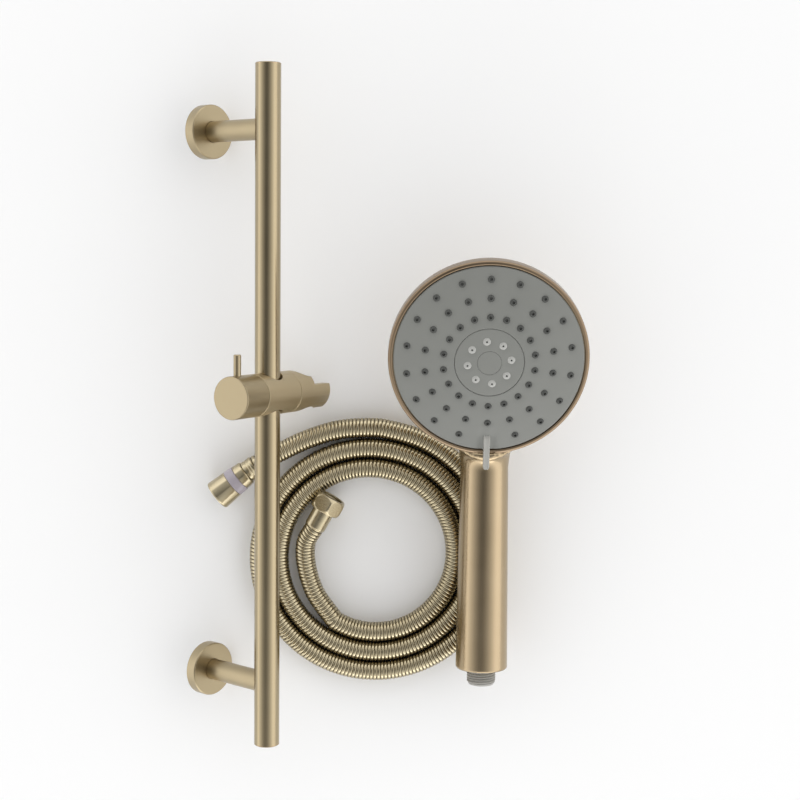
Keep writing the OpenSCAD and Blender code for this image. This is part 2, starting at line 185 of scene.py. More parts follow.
# %% [markdown]
# ## Hose
# A shower hose is a strip of metal wound into a tube, so its surface is a row of rounded bands with a thin
# groove between them.  A bump map would show the bands, but not on the outline, so they are modelled: a
# band profile is carried along the route, and each point slides along the hose as it goes round, which
# makes the winding a true helix.  The route is the real one: the outer end, a flat spiral that winds
# inwards by about one hose diameter a turn, and the inner end that climbs into its nut.

# %% Route of the hose
HOSE_D, HOSE_LENGTH = 0.0145, 1.40
# Points of the route, and the spiral between its two ends, in millimetres.
OUTER_END = [[-94.2, -45.2, 11.7], [-76, -35.5, 8.6], [-56, -26, 7.4], [-34, -19, 7.3], [-12, -17, 7.3]]
INNER_END = [[-38, -158, 7.3], [-50, -141, 7.4], [-56.5, -121, 8], [-57, -103, 10],
             [-50.6, -90.6, 12.7]]
SPIRAL_AT, SPIRAL_R, SPIRAL_PITCH, SPIRAL_TURNS = (-8, -112), 94.6, 14.7, 2.58
SPIRAL_Z = 7.3                                 # the middle of the hose, where it lies on the table
POINTS_PER_TURN = 24


def spiral(turns, count):
    """A flat spiral, clockwise from its top: angle 90 - 360 t degrees, radius R - pitch t."""
    t = np.linspace(0.02, turns, count)
    a, r = np.radians(90 - 360 * t), SPIRAL_R - SPIRAL_PITCH * t
    return np.stack([SPIRAL_AT[0] + r * np.cos(a), SPIRAL_AT[1] + r * np.sin(a), SPIRAL_Z + 0 * t],
                    axis=1)


def smooth_line(points, count):
    """count points evenly along a Catmull-Rom curve through the given ones, ends included."""
    p = np.concatenate([[2 * points[0] - points[1]], points, [2 * points[-1] - points[-2]]])
    t = np.linspace(0, 1, 24, endpoint=False)[None, :, None]
    a, b, c, d = (p[i : len(p) - 3 + i, None] for i in range(4))
    curve = 0.5 * (2 * b + (c - a) * t + (2 * a - 5 * b + 4 * c - d) * t**2
                   + (3 * b - a - 3 * c + d) * t**3)
    curve = np.concatenate([curve.reshape(-1, 3), points[-1:]])
    along = np.concatenate([[0], np.cumsum(np.linalg.norm(np.diff(curve, axis=0), axis=1))])
    at = np.linspace(0, along[-1], count)
    return np.stack([np.interp(at, along, curve[:, k]) for k in range(3)], axis=1), along[-1]


coil = spiral(SPIRAL_TURNS, int(SPIRAL_TURNS * POINTS_PER_TURN))
route = np.concatenate([OUTER_END, coil, INNER_END]) * MM
# The line runs on for a few millimetres inside both sleeves, so that no gap shows at their mouths.
outward = [np.array(joints[name]["axis"]) for name in ("cone_nut_spin", "hex_nut_spin")]
route = np.concatenate([route[:1] + 0.004 * outward[0], route, route[-1:] + 0.007 * outward[1]])
print("hose route", round(smooth_line(route, 2000)[1], 4), "m")

# %% Wound bands along the route
BAND = 0.0026                                  # length of one band
BAND_PROFILE = np.array([[0.0, -0.6], [0.14, -0.16], [0.36, 0.0], [0.64, 0.0], [0.86, -0.16]])
HOSE_SIDES = 30


def wound_tube(points, diameter, pitch, profile, sides):
    """Rings along the points, one for each profile row in every band.  A ring's radius is half the
    diameter plus the profile's height; its points run ahead along the hose by a share of the pitch equal
    to their share of the turn.  Across the hose, one axis is level and the other is square to it."""
    length = smooth_line(points, 2000)[1]
    bands = int(length / pitch) - 1
    place = (np.arange(bands)[:, None] + profile[None, :, 0]).ravel() * pitch
    lift = np.tile(profile[:, 1], bands) * MM
    line, _ = smooth_line(points, 6000)
    fine = np.linspace(0, length, 6000)
    tangent = np.gradient(line, axis=0)
    tangent /= np.linalg.norm(tangent, axis=1)[:, None]
    a = circle_of(sides)[None, :]
    at = place[:, None] + pitch * a / (2 * np.pi)
    centre = np.stack([np.interp(at, fine, line[:, k]) for k in range(3)], axis=-1)
    ahead = np.stack([np.interp(at, fine, tangent[:, k]) for k in range(3)], axis=-1)
    level = np.cross(ahead, [0, 0, 1])
    level /= np.linalg.norm(level, axis=-1)[..., None]
    r = (diameter / 2 + lift)[:, None, None]
    grid = centre + r * (np.cos(a)[..., None] * level + np.sin(a)[..., None] * np.cross(level, ahead))
    middle = np.stack([np.interp(place, fine, line[:, k]) for k in range(3)], axis=-1)
    return grid, middle


hose_grid, hose_line = wound_tube(route, HOSE_D, BAND, BAND_PROFILE, HOSE_SIDES)
# One more column repeats the first, one band further on, so that the helix closes on itself.
rows_per_band = len(BAND_PROFILE)
closed_grid = np.concatenate([hose_grid[:-rows_per_band], hose_grid[rows_per_band:, :1]], axis=1)
# depth is 1 at the bottom of each groove and 0 on the crests; the hose's material uses it to paint the grooves
# near black, as shade.
row_depth = np.resize(BAND_PROFILE[:, 1] / BAND_PROFILE[:, 1].min(), len(closed_grid))
depth = np.repeat(row_depth.astype(np.float32), HOSE_SIDES + 1)
hose = piece_from_grids("hose", [(closed_grid, False, False)], sharp=60, fill=True, depth=depth)
hose_line = hose_line[: len(closed_grid)]
print("hose bands:", len(hose_line) // rows_per_band, "faces:", len(hose.data.polygons))

# %% [markdown]
# ## Ends of the hose
# Each end is crimped in a short sleeve.  The sleeve, the nuts and their threads are turned shapes: a
# profile of radius and height carried round an axis.  Where a shape isn't round, such as the six flats of
# the hexagonal nut, the radius is also a function of the angle.

# %% Places of the two nuts
cone_at = np.array(joints["cone_nut_spin"]["pos_m"])
cone_axes = axes_of(joints["cone_nut_spin"]["axis"])
HEX_L, HEX_AF, CONE_L = 0.012, 0.0216, 0.0285
hex_axes = axes_of(joints["hex_nut_spin"]["axis"])
hex_at = np.array(joints["hex_nut_spin"]["pos_m"]) - hex_axes[:, 2] * HEX_L / 2
THREAD_PITCH, THREAD_DEPTH = 1.814 * MM, 1.16 * MM
NUT_BORE, NUT_THREAD_DEPTH = 0.00945, 0.5 * MM


def thread_wave(z, a, pitch):
    """A screw thread as a wave: 0 at the root and 1 at the crest, a triangle with a flat top, whose phase
    moves on by one pitch in a turn."""
    phase = (z / pitch - a / (2 * np.pi)) % 1
    return np.clip(1.35 * (1 - np.abs(2 * phase - 1)) - 0.1, 0, 1)


def sleeve(name, length, neck, crimp, origin, axes):
    """A sleeve with two pressed grooves of depth crimp, a rolled lip, and the nipple in front of it."""
    z = np.linspace(-length, -0.3 * MM, 40)
    at = (z + length) / length
    groove = np.exp(-(((at - 0.35) / 0.06) ** 2)) + np.exp(-(((at - 0.6) / 0.06) ** 2))
    r = 7.9 * MM - crimp * groove - 0.5 * MM * np.clip(1 - at / 0.06, 0, 1) ** 2
    inner = [[6.6 * MM, -length], [4 * MM, -length + 0.5 * MM], [4 * MM, neck + 1.5 * MM]]
    front = [[7.0 * MM, -0.3 * MM], [6 * MM, -0.3 * MM], [6 * MM, neck], [7.9 * MM, neck + 0.2 * MM],
             [7.9 * MM, neck + 1.2 * MM]]
    profile = np.concatenate([np.stack([r, z], axis=1), front, inner[::-1]])
    return piece_from_grids(name, [(turned(profile, origin, axes, 64), True, True)])


outer_sleeve = sleeve("outer_sleeve", length=8 * MM, neck=4 * MM, crimp=0.35 * MM,
                      origin=cone_at, axes=cone_axes)
inner_sleeve = sleeve("inner_sleeve", length=14 * MM, neck=2 * MM, crimp=0.04 * MM,
                      origin=hex_at, axes=hex_axes)

# %% Conical nut
CONE_FACETS, CONE_NARROW, CONE_WIDE, FLAT_DIP = 12, 0.0091, 0.0113, 0.28 * MM


def shallow_flats(r, z, a):
    """Shallow flats on the outside of the cone: the radius dips towards the middle of each flat, and the
    flats fade out at both ends."""
    fade = np.clip(z / (3 * MM), 0, 1) * np.clip((CONE_L - z) / (5 * MM), 0, 1)
    outside = r > CONE_NARROW - 0.5 * MM
    phase = (a * CONE_FACETS / (2 * np.pi)) % 1 - 0.5
    return r - outside * fade * FLAT_DIP * (1 - 4 * phase**2)


def cone_radius(z):
    """The outside of the conical nut grows in a straight line along it."""
    return CONE_NARROW + (CONE_WIDE - CONE_NARROW) * z / CONE_L


z_thread = np.linspace(CONE_L - 0.6 * MM, 17 * MM, 60)
outside = [[6.1 * MM, 0.0], [8.3 * MM, 0.0], [cone_radius(0.8 * MM), 0.8 * MM],
           [cone_radius(6.7 * MM), 6.7 * MM], [9.15 * MM, 6.9 * MM], [9.15 * MM, 13.7 * MM],
           [cone_radius(13.9 * MM), 13.9 * MM], [cone_radius(CONE_L - 1.2 * MM), CONE_L - 1.2 * MM],
           [10.9 * MM, CONE_L - 0.2 * MM], [10.5 * MM, CONE_L], [9.9 * MM, CONE_L]]
inside = np.array([[8.9, 16.6], [8.9, 14.6], [8.2, 14.6], [8.2, 4.1], [6.1, 4]]) * MM
thread = np.stack([0 * z_thread + NUT_BORE, z_thread], axis=1)
profile = np.concatenate([rounded(outside, 0.5 * MM), thread, inside])


def cone_shape(r, z, a):
    """Flats on the outside, and a thread standing inwards from the bore."""
    bore = np.isclose(r, NUT_BORE)
    threads = r - NUT_THREAD_DEPTH * thread_wave(z, a, THREAD_PITCH)
    return np.where(bore, threads, shallow_flats(r, z, a))


cone_nut = piece_from_grids("cone_nut_turned",
    [(turned(profile, cone_at, cone_axes, 96, cone_shape), True, True)], sharp=28)
band = rounded([[9.15, 6.9], [9.9, 6.9], [10.45, 13.7], [9.15, 13.7]], 0.5)
band = np.concatenate([band, [[9.15, 10.3]]]) * MM
cone_band = piece_from_grids("cone_nut_sleeve",
    [(turned(band, cone_at, cone_axes, 96), True, True)], sharp=28)
print("conical nut faces:", len(cone_nut.data.polygons))

# %% Hexagonal nut
HEX_ROLL, HEX_THREAD_FROM = np.radians(38), 5.8 * MM


def six_flats(r, z, a):
    """Outside of a chamfered nut: the distance to the flats of a hexagon in direction a, cut by a cone
    at both ends, whose radius grows from just over the flats with the depth below the end."""
    bore = r < NUT_BORE + 0.3 * MM
    step = (a - HEX_ROLL) % (np.pi / 3) - np.pi / 6
    flat = HEX_AF / 2 / np.cos(step)
    corner = HEX_AF / np.sqrt(3) - 0.25 * MM
    chamfer = HEX_AF / 2 - 0.15 * MM + 0.62 * np.minimum(z, HEX_L - z)
    outer = np.minimum(np.minimum(flat, corner), chamfer)
    threads = r - NUT_THREAD_DEPTH * thread_wave(z, a, THREAD_PITCH) * (z > HEX_THREAD_FROM)
    return np.where(bore, threads, np.minimum(r, outer))


z_out = np.concatenate([np.linspace(0, 1.8 * MM, 12), np.linspace(2 * MM, HEX_L - 2 * MM, 8),
                        np.linspace(HEX_L - 1.8 * MM, HEX_L, 12)])
z_in = np.linspace(HEX_L - 0.2 * MM, HEX_THREAD_FROM, 40)
nut_profile = np.concatenate([[[6.1 * MM, 0.0]], np.stack([0 * z_out + 20 * MM, z_out], axis=1),
    [[9.7 * MM, HEX_L]], np.stack([0 * z_in + NUT_BORE, z_in], axis=1),
    np.array([[8.9, 5.9], [8.9, 4.4], [8.2, 4.4], [8.2, 2], [6.1, 2]]) * MM])
hex_nut = piece_from_grids("hex_nut_turned",
    [(turned(nut_profile, hex_at, hex_axes, 144, six_flats), True, True)], sharp=24)
print("hexagonal nut faces:", len(hex_nut.data.polygons))

# %% [markdown]
# ## Shell of the hand shower
# Handle, neck and domed back are one plated shell, and the neck flares softly into the head.  Such a blend
# is awkward to model patch by patch.  It is easy as a distance field: a formula gives the distance from any
# point to the head and to the handle, and a smooth minimum of the two fills the corner between them.  A
# coarse solid is remeshed into even faces, and its points are then moved onto the field's surface.

# %% Places on the hand shower
head_at = np.array(joints["face_turn"]["pos_m"])
normal = np.array(joints["face_turn"]["axis"])
head_axes = np.stack([[1.0, 0, 0], np.cross(normal, [1.0, 0, 0]), normal], axis=1)
low, high = (np.array(corner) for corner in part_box("inlet_connector"))
inlet_at = np.array([(low[0] + high[0]) / 2, low[1] + 12.3 * MM, (low[2] + high[2]) / 2])
inlet_axes = axes_of([0, 1, 0])
HEAD_R, BACK_R, BACK_DEPTH = 0.0697, 0.1525, 0.029
HANDLE_R_INLET, HANDLE_R_NECK, HANDLE_L, HANDLE_END = 0.0188, 0.01705, 0.158, 0.172
NECK_BLEND, EDGE_BLEND, RIM_TOP = 0.013, 0.0022, 0.0022
NECK_RISE, NECK_TAPER = np.array([0, 30, 16]) * MM, 3 * MM
INLET_EDGE, HANDLE_BLEND, RIM_GAP, VOXEL = 0.9 * MM, 4 * MM, 0.6 * MM, 1.15 * MM


def smooth_min(a, b, k):
    """The smaller of a and b, less a parabola of width k where they are nearly equal."""
    h = np.maximum(k - np.abs(a - b), 0) / k
    return np.minimum(a, b) - h * h * k / 4


def smooth_max(a, b, k):
    """The mirror of smooth_min."""
    return -smooth_min(-a, -b, k)


def head_distance(p):
    """Distance to a disc of the head's radius, its back cut by a large sphere, with a rounded edge."""
    q = (p - head_at) @ head_axes
    across = np.hypot(q[:, 0], q[:, 1])
    dome = np.linalg.norm(q - [0, 0, BACK_R - BACK_DEPTH], axis=1) - BACK_R
    return smooth_max(smooth_max(across - HEAD_R, dome, 2 * EDGE_BLEND), q[:, 2] + RIM_TOP, 0.4 * MM)


def handle_distance(p):
    """Distance to a cone from the inlet to the neck, then to a rod that rises into the head."""
    q = (p - inlet_at) @ inlet_axes
    t = np.clip(q[:, 2] / HANDLE_L, 0, 1)
    cone = np.hypot(q[:, 0], q[:, 1]) - (HANDLE_R_INLET + (HANDLE_R_NECK - HANDLE_R_INLET) * t)
    cone = smooth_max(smooth_max(cone, -q[:, 2], INLET_EDGE), q[:, 2] - HANDLE_END, HANDLE_BLEND)
    bend = inlet_at + np.array([0, HANDLE_L, 0])
    s = np.clip((p - bend) @ NECK_RISE / (NECK_RISE @ NECK_RISE), 0, 1)[:, None]
    rod = np.linalg.norm(p - bend - s * NECK_RISE, axis=1) - (HANDLE_R_NECK - NECK_TAPER * s[:, 0])
    return smooth_min(cone, rod, HANDLE_BLEND)


def shell_distance(p):
    """Head and handle, blended; what would rise inside the rim is cut away."""
    both = smooth_min(head_distance(p), handle_distance(p), NECK_BLEND)
    q = (p - head_at) @ head_axes
    across = np.hypot(q[:, 0], q[:, 1])
    inside = smooth_max(across - HEAD_R + RIM_GAP, -q[:, 2] - RIM_TOP, RIM_GAP)
    return smooth_max(both, -inside, RIM_GAP)


def onto_surface(p, distance, rounds=6, step=0.05 * MM):
    """Newton's method: each point moves by its distance against the field's slope, which is measured
    with a small step along each axis."""
    for _ in range(rounds):
        d = distance(p)
        slope = np.stack([distance(p + step * e) - distance(p - step * e) for e in np.eye(3)],
                         axis=1) / (2 * step)
        p = p - d[:, None] * slope / np.maximum((slope**2).sum(1), 0.2)[:, None]
    return p


# %% Coarse solid, remeshed and moved onto the field
def coarse_shell():
    """A disc, a cone and a short rod that roughly fill the shell, as one closed voxel mesh."""
    disc = turned([[0, -BACK_DEPTH], [50 * MM, -22 * MM], [HEAD_R, -12 * MM], [HEAD_R, -RIM_TOP],
                   [0, -RIM_TOP]], head_at, head_axes)
    cone = turned([[0, 0], [HANDLE_R_INLET, 0], [HANDLE_R_NECK, HANDLE_L], [0, HANDLE_L]],
                  inlet_at, inlet_axes)
    bend = inlet_at + np.array([0, HANDLE_L - 4 * MM, 0])
    rod = turned([[0, 0], [HANDLE_R_NECK, 0], [14 * MM, 36 * MM], [0, 36 * MM]], bend,
                 axes_of(NECK_RISE))
    solid = piece_from_grids("handset_body", [(g, False, True) for g in (disc, cone, rod)])
    remesh = solid.modifiers.new("voxels", "REMESH")
    remesh.mode, remesh.voxel_size = "VOXEL", VOXEL
    graph = bpy.context.evaluated_depsgraph_get()
    mesh = bpy.data.meshes.new_from_object(solid.evaluated_get(graph))
    solid.modifiers.clear()
    solid.data = mesh
    return solid


SMOOTHING_ROUNDS, SHARE_OF_NEIGHBOURS = 10, 0.6
handset_body = coarse_shell()
mesh = handset_body.data
points = np.zeros(len(mesh.vertices) * 3)
mesh.vertices.foreach_get("co", points)
edges = np.zeros(len(mesh.edges) * 2, int)
mesh.edges.foreach_get("vertices", edges)
points, edges = points.reshape(-1, 3), edges.reshape(-1, 2)
degree = np.bincount(edges.ravel(), minlength=len(points))[:, None]
for _ in range(SMOOTHING_ROUNDS):
    total = np.zeros_like(points)
    np.add.at(total, edges[:, 0], points[edges[:, 1]])
    np.add.at(total, edges[:, 1], points[edges[:, 0]])
    points = (1 - SHARE_OF_NEIGHBOURS) * points + SHARE_OF_NEIGHBOURS * total / degree
    points = onto_surface(points, shell_distance, rounds=2)
points = onto_surface(points, shell_distance)
mesh.vertices.foreach_set("co", points.astype(np.float32).ravel())
mesh.polygons.foreach_set("use_smooth", np.ones(len(mesh.polygons), bool))
mesh.update()
print("shell:", len(mesh.polygons), "faces, furthest off the field by",
      round(float(np.abs(shell_distance(points)).max()) * 1e6), "micrometres")

# %% [markdown]
# ## Rim, spray face and nozzles
# The rim is a thin turned ring whose crisp edge the remeshed shell couldn't hold.  The grey face inside it
# is a shallow dome on a polar grid: its height is the dome's, less a groove round the centre insert, a soft
# dimple round every nozzle and a dip on both sides of the mode tab.

# %% Rim
rim_profile = rounded([[66.9, -5.0], [66.9, 0.1], [70.0, -0.6], [70.0, -11.0], [68.0, -11.0]], 1.6, 7)
rim_profile = np.concatenate([rim_profile, [[67.2, -8.0]]]) * MM
rim_grid = turned(rim_profile, head_at, head_axes, 192)
rim = piece_from_grids("handset_rim", [(rim_grid, True, True)], sharp=25)

# %% Spray face
FACE_R, FACE_RISE, INSERT_R, CAP_R = 0.0664, 0.0078, 0.0241, 0.0084
DOME_R = (FACE_R**2 + FACE_RISE**2) / (2 * FACE_RISE)
NOZZLE_RINGS = {
    "nozzles_outer": (0.0577, 17),
    "nozzles_middle": (0.0449, 18),
    "nozzles_inner": (0.0320, 18),
}
CENTRE_RING, CENTRE_TURN = 0.0152, np.radians(8)
TAB_W, TAB_FROM, TAB_TO = 0.0046, 0.0543, 0.0805
DIMPLE_DEPTH, DIMPLE_R, UNDERSIDE = 0.45 * MM, 3.3 * MM, -3 * MM


def dome_height(r):
    """Height of the face above its edge: a circle of radius DOME_R seen from the side."""
    return FACE_RISE - DOME_R + np.sqrt(DOME_R**2 - r**2)


def ring_places(radius, count):
    """Nozzles 20 degrees apart; the ring of 17 leaves its gap at the tab, at the bottom."""
    k = np.arange(count) - (8 if count == 17 else 0)
    a = np.radians(90 + 20 * k)
    return np.stack([radius * np.cos(a), radius * np.sin(a)], axis=1)


centre_angles = np.radians(90) + CENTRE_TURN + np.arange(8) * np.pi / 4
centre_places = CENTRE_RING * np.stack([np.cos(centre_angles), np.sin(centre_angles)], axis=1)
face_places = np.concatenate([ring_places(*ring) for ring in NOZZLE_RINGS.values()])


def polar_face(name, radii, places, height, columns=360):
    """A dome on a polar grid.  Each place sinks a dimple, a bell curve of its distance; the sheet is
    closed by a flat underside."""
    r, a = np.array(radii)[:, None], circle_of(columns)[None, :]
    x, y = r * np.cos(a), r * np.sin(a)
    away = np.min([np.hypot(x - px, y - py) for px, py in places], axis=0)
    dimples = DIMPLE_DEPTH * np.exp(-((away / DIMPLE_R) ** 2))
    z = dome_height(np.minimum(np.hypot(x, y), FACE_R)) - dimples + height(x, y, np.hypot(x, y))
    top = np.stack([x, y, z], axis=-1)
    under = np.stack([x[[-1, 0]], y[[-1, 0]], 0 * x[[-1, 0]] + UNDERSIDE], axis=-1)
    grid = put(np.concatenate([top, under]), head_at, head_axes)
    return piece_from_grids(name, [(grid, True, True)], sharp=30)


def face_height(x, y, r):
    """A groove at the inner edge, a rounded outer edge and a soft dip on both sides of the tab."""
    groove = -0.28 * MM * np.exp(-(((r - INSERT_R - 0.25 * MM) / (0.22 * MM)) ** 2))
    edge = -1.1 * MM * np.clip((r - FACE_R + 1.2 * MM) / (1.2 * MM), 0, 1) ** 2
    low_down = np.clip((-y - 48 * MM) / (8 * MM), 0, 1)
    beside = low_down * np.exp(-(((np.abs(x) - 4.4 * MM) / (2.2 * MM)) ** 2))
    return groove + edge - 0.7 * MM * beside


radii = np.concatenate([np.linspace(INSERT_R + 0.15 * MM, INSERT_R + 1.2 * MM, 9),
                        np.linspace(INSERT_R + 1.6 * MM, FACE_R - 1.4 * MM, 62),
                        np.linspace(FACE_R - 1.2 * MM, FACE_R, 7)])
face = polar_face("spray_face_sheet", radii, face_places, face_height)


def insert_height(x, y, r):
    """A rounded outer edge, and a fine groove round the cap in the middle."""
    edge = -0.6 * MM * np.clip((r - INSERT_R + 0.8 * MM) / (0.8 * MM), 0, 1) ** 2
    return edge - 0.4 * MM * np.exp(-(((r - CAP_R) / (0.26 * MM)) ** 2))


radii = np.concatenate([np.linspace(0.01 * MM, CAP_R - 0.9 * MM, 16),
                        np.linspace(CAP_R - 0.7 * MM, CAP_R + 0.7 * MM, 13),
                        np.linspace(CAP_R + 0.9 * MM, INSERT_R - 1 * MM, 40),
                        np.linspace(INSERT_R - 0.8 * MM, INSERT_R - 0.02 * MM, 6)])
insert = polar_face("centre_insert_sheet", radii, centre_places, insert_height, columns=240)
print("spray face faces:", len(face.data.polygons), "insert:", len(insert.data.polygons))

# %% Nozzles
NUB = np.array([[0.2, -1.6], [0.7, -1.2], [0.8, 0.9], [1.0, 1.2], [1.4, 1.25], [1.8, 1.0], [2.15, 0.4],
                [2.5, 0.0], [2.9, -0.35], [2.9, -1.6]])
SPOT = np.array([[0.2, -1.4], [0.5, -1.0], [0.5, 0.5], [0.8, 0.75], [1.4, 0.75], [2.1, 0.5], [2.7, 0.05],
                 [3.1, -0.4], [3.1, -1.4]])


def nozzle_group(name, places, profile, columns=18):
    """One small turned nub per place, standing square on the dome.  The first three points of the profile
    are in the hole, and the attribute depth marks them for the material, which paints them black as shade."""
    a = circle_of(columns)
    r, z = profile.T * MM
    nub = np.stack([r[:, None] * np.cos(a), r[:, None] * np.sin(a), z[:, None] + 0 * a], axis=-1)
    grids = []
    for x, y in places:
        away = np.hypot(x, y)
        up = np.array([x, y, np.sqrt(DOME_R**2 - away**2)]) / DOME_R
        base = np.array([x, y, dome_height(away) - 0.3 * MM])
        grids.append((put(put(nub, base, axes_of(up, (0, 1, 0))), head_at, head_axes), True, True))
    hole = (np.arange(len(profile)) < 3).astype(np.float32)
    depth = np.tile(np.repeat(hole, columns), len(places))
    return piece_from_grids(name, grids, sharp=50, depth=depth)


nubs = {}
for node, ring in NOZZLE_RINGS.items():
    nubs[node] = nozzle_group(node + "_nubs", ring_places(*ring), NUB)
nubs["centre_nozzles"] = nozzle_group("centre_nozzles_spots", centre_places, SPOT)
print("nozzles:", sum(len(n.data.polygons) for n in nubs.values()), "faces")

# %% Mode tab
def tab_surface(rows=46, columns=33):
    """A bar with a round end: u runs across it and v along it.  The height is a low crown with a raised
    line at both edges and a slight groove between them; the half width shrinks as a circle at the end."""
    u, v = np.linspace(-1, 1, columns)[None, :], np.linspace(0, 1, rows)[:, None]
    y = -(TAB_FROM + (TAB_TO - TAB_FROM) * (1 - (1 - v) ** 1.6))
    end = np.clip((-y - (TAB_TO - TAB_W / 2)) / (TAB_W / 2), 0, 1)
    x = u * TAB_W / 2 * np.sqrt(np.clip(1 - end**2, 0, 1))
    start = np.clip((-y - TAB_FROM) / (2.5 * MM), 0, 1)
    ridges = 0.45 * MM * np.exp(-(((np.abs(u) - 0.72) / 0.16) ** 2))
    side = -1.4 * MM * np.clip((np.abs(u) - 0.86) / 0.14, 0, 1) ** 2
    z = 3.1 * MM * start**0.5 + 0.5 * MM + ridges + side - 0.9 * MM * end**3
    top = np.stack([x, y + 0 * u, z + 0 * u], axis=-1)
    bottom = top * [1, 1, 0] + [0, 0, -0.2 * MM]
    return np.concatenate([top, bottom[:, ::-1]], axis=1)


tab_grid = put(tab_surface(), head_at, head_axes)
tab = piece_from_grids("mode_tab_bar", [(tab_grid, False, True)], sharp=40, fill=True)

# %% [markdown]
# ## Inlet thread
# The inlet is a plain pipe in CAD.  Here its radius rises and falls with a screw thread: the phase of the
# wave is the height less one pitch for each turn, which is all that a helix is.

# %% Inlet
PIPE_R = 20.955 / 2 * MM
INLET_L = 12.3 * MM


def threaded(r, z, a):
    """The crest radius less the thread's depth at its roots; the thread fades out at the mouth."""
    at_mouth = np.clip((z + INLET_L - 0.6 * MM) / (1.5 * MM), 0, 1)
    fade = at_mouth * np.clip(-(z + 0.8 * MM) / (1.2 * MM), 0, 1)
    outside = np.isclose(r, PIPE_R)
    return r - outside * THREAD_DEPTH * (1 - thread_wave(z, a, THREAD_PITCH) * fade)


z_pipe = np.linspace(-INLET_L + 0.5 * MM, -0.1 * MM, 78)
mouth = np.array([[6, -9.4], [8.6, -9.4], [8.6, -INLET_L / MM], [9.0, -INLET_L / MM]]) * MM
inner_end = np.array([[9.4, 0.2], [6, 0.2]]) * MM
pipe = np.concatenate([mouth, np.stack([0 * z_pipe + PIPE_R, z_pipe], axis=1), inner_end])
inlet_grid = turned(pipe, inlet_at, inlet_axes, 96, threaded)
inlet = piece_from_grids("inlet_thread", [(inlet_grid, True, True)])
print("inlet faces:", len(inlet.data.polygons))

# %% [markdown]
# ## Machined edges
# Real plated parts have no razor edges: each corner is broken and catches a thin line of light.  The other
# visible CAD parts keep their shape, and a copy of each gets its doubled points merged, its flat faces
# joined, and a small bevel on every edge that is sharp enough.

# %% Bevelled copies
def softened(node, width, name):
    """A copy of a CAD node with merged points, joined flat faces and bevelled sharp edges."""
    mesh = frame["nodes"][node].data.copy()
    mesh.materials.clear()
    bm = bmesh.new()
    bm.from_mesh(mesh)
    bmesh.ops.remove_doubles(bm, verts=bm.verts, dist=2e-6)
    bmesh.ops.dissolve_limit(bm, angle_limit=np.radians(0.5), verts=bm.verts, edges=bm.edges)
    bm.to_mesh(mesh)
    bm.free()
    piece = link(mesh, name)
    bevel = piece.modifiers.new("edges", "BEVEL")
    bevel.width, bevel.segments, bevel.limit_method = width, 2, "ANGLE"
    bevel.angle_limit, bevel.harden_normals = np.radians(40), True
    bevel.use_clamp_overlap = False
    return piece


BEVELS = {"slider_body": 0.35, "holder": 0.4, "lock_knob": 0.4, "upper_cover": 0.25, "lower_cover": 0.25}
machined = {node: softened(node, width * MM, node + "_machined") for node, width in BEVELS.items()}
print("bevelled:", ", ".join(machined))

# %% [markdown]
# ## Finishes as expressions
# Node trees are tedious to wire by hand.  A small class wraps a socket, so that ordinary arithmetic on
# values adds the Math nodes, and one method adds any other node from its settings and inputs.

# %% Socket arithmetic
class Wire:
    """An output socket of a node tree.  Arithmetic with it, in either order, adds Math nodes."""

    def __init__(self, tree, socket=None):
        self.tree, self.socket = tree, socket

    def node(self, kind, settings=None, inputs=None, output=0):
        """Adds a node: settings first, then values or links on its sockets; returns one output."""
        made = self.tree.nodes.new(kind)
        for key, value in (settings or {}).items():
            if key == "stops":
                self.set_stops(made.color_ramp.elements, value)
            else:
                setattr(made, key, value)
        self.feed(made, inputs or {})
        return Wire(self.tree, made.outputs[output])

    def feed(self, made, inputs):
        """Sets or links a node's inputs."""
        for key, value in inputs.items():
            if isinstance(value, Wire):
                self.tree.links.new(value.socket, made.inputs[key])
            else:
                made.inputs[key].default_value = value

    def set_stops(self, elements, stops):
        """A ramp's stops, each (place, grey level)."""
        elements.remove(elements[1])
        elements[0].position = stops[0][0]
        for at, _ in stops[1:]:
            elements.new(at)
        for element, (_, grey) in zip(elements, stops):
            element.color = (grey, grey, grey, 1)

    def math(self, operation, one, two):
        return self.node("ShaderNodeMath", {"operation": operation}, {0: one, 1: two})

    def __add__(self, other):
        return self.math("ADD", self, other)

    def __sub__(self, other):
        return self.math("SUBTRACT", self, other)

    def __rsub__(self, other):
        return self.math("SUBTRACT", other, self)

    def __mul__(self, other):
        return self.math("MULTIPLY", self, other)

    __radd__, __rmul__ = __add__, __mul__

    def mixed(self, shade, tone):
        """The colour shade where this value is 0, and tone where it is 1."""
        return self.node("ShaderNodeMix", {"data_type": "RGBA"}, {0: self, 6: shade, 7: tone}, 2)


def finish(name, recipe, **constants):
    """A material.  Constants go on the shader's own sockets; recipe(start, place) gives what changes over
    the surface, as a dict of socket and value, and may give the height and strength of a bump."""
    made = bpy.data.materials.new(name)
    made.use_nodes = True
    shader = made.node_tree.nodes["Principled BSDF"]
    start = Wire(made.node_tree)
    start.feed(shader, {key.replace("_", " "): value for key, value in constants.items()})
    where = start.node("ShaderNodeTexCoord", output=3)
    found = recipe(start, where)
    if "Height" in found:
        height, strength = found.pop("Height")
        found["Normal"] = start.node("ShaderNodeBump", {}, {"Height": height, "Strength": strength,
                                                            "Distance": 0.05 * MM})
    start.feed(shader, found)
    return made


def noise(start, where, scale, detail=3.0):
    """A noise texture's value; scale is one number, or three to stretch it."""
    if not np.isscalar(scale):
        where = start.node("ShaderNodeMapping", {}, {"Vector": where, "Scale": scale})
        scale = 1.0
    return start.node("ShaderNodeTexNoise", {}, {"Vector": where, "Scale": scale, "Detail": detail,
                                                 "Roughness": 0.6})


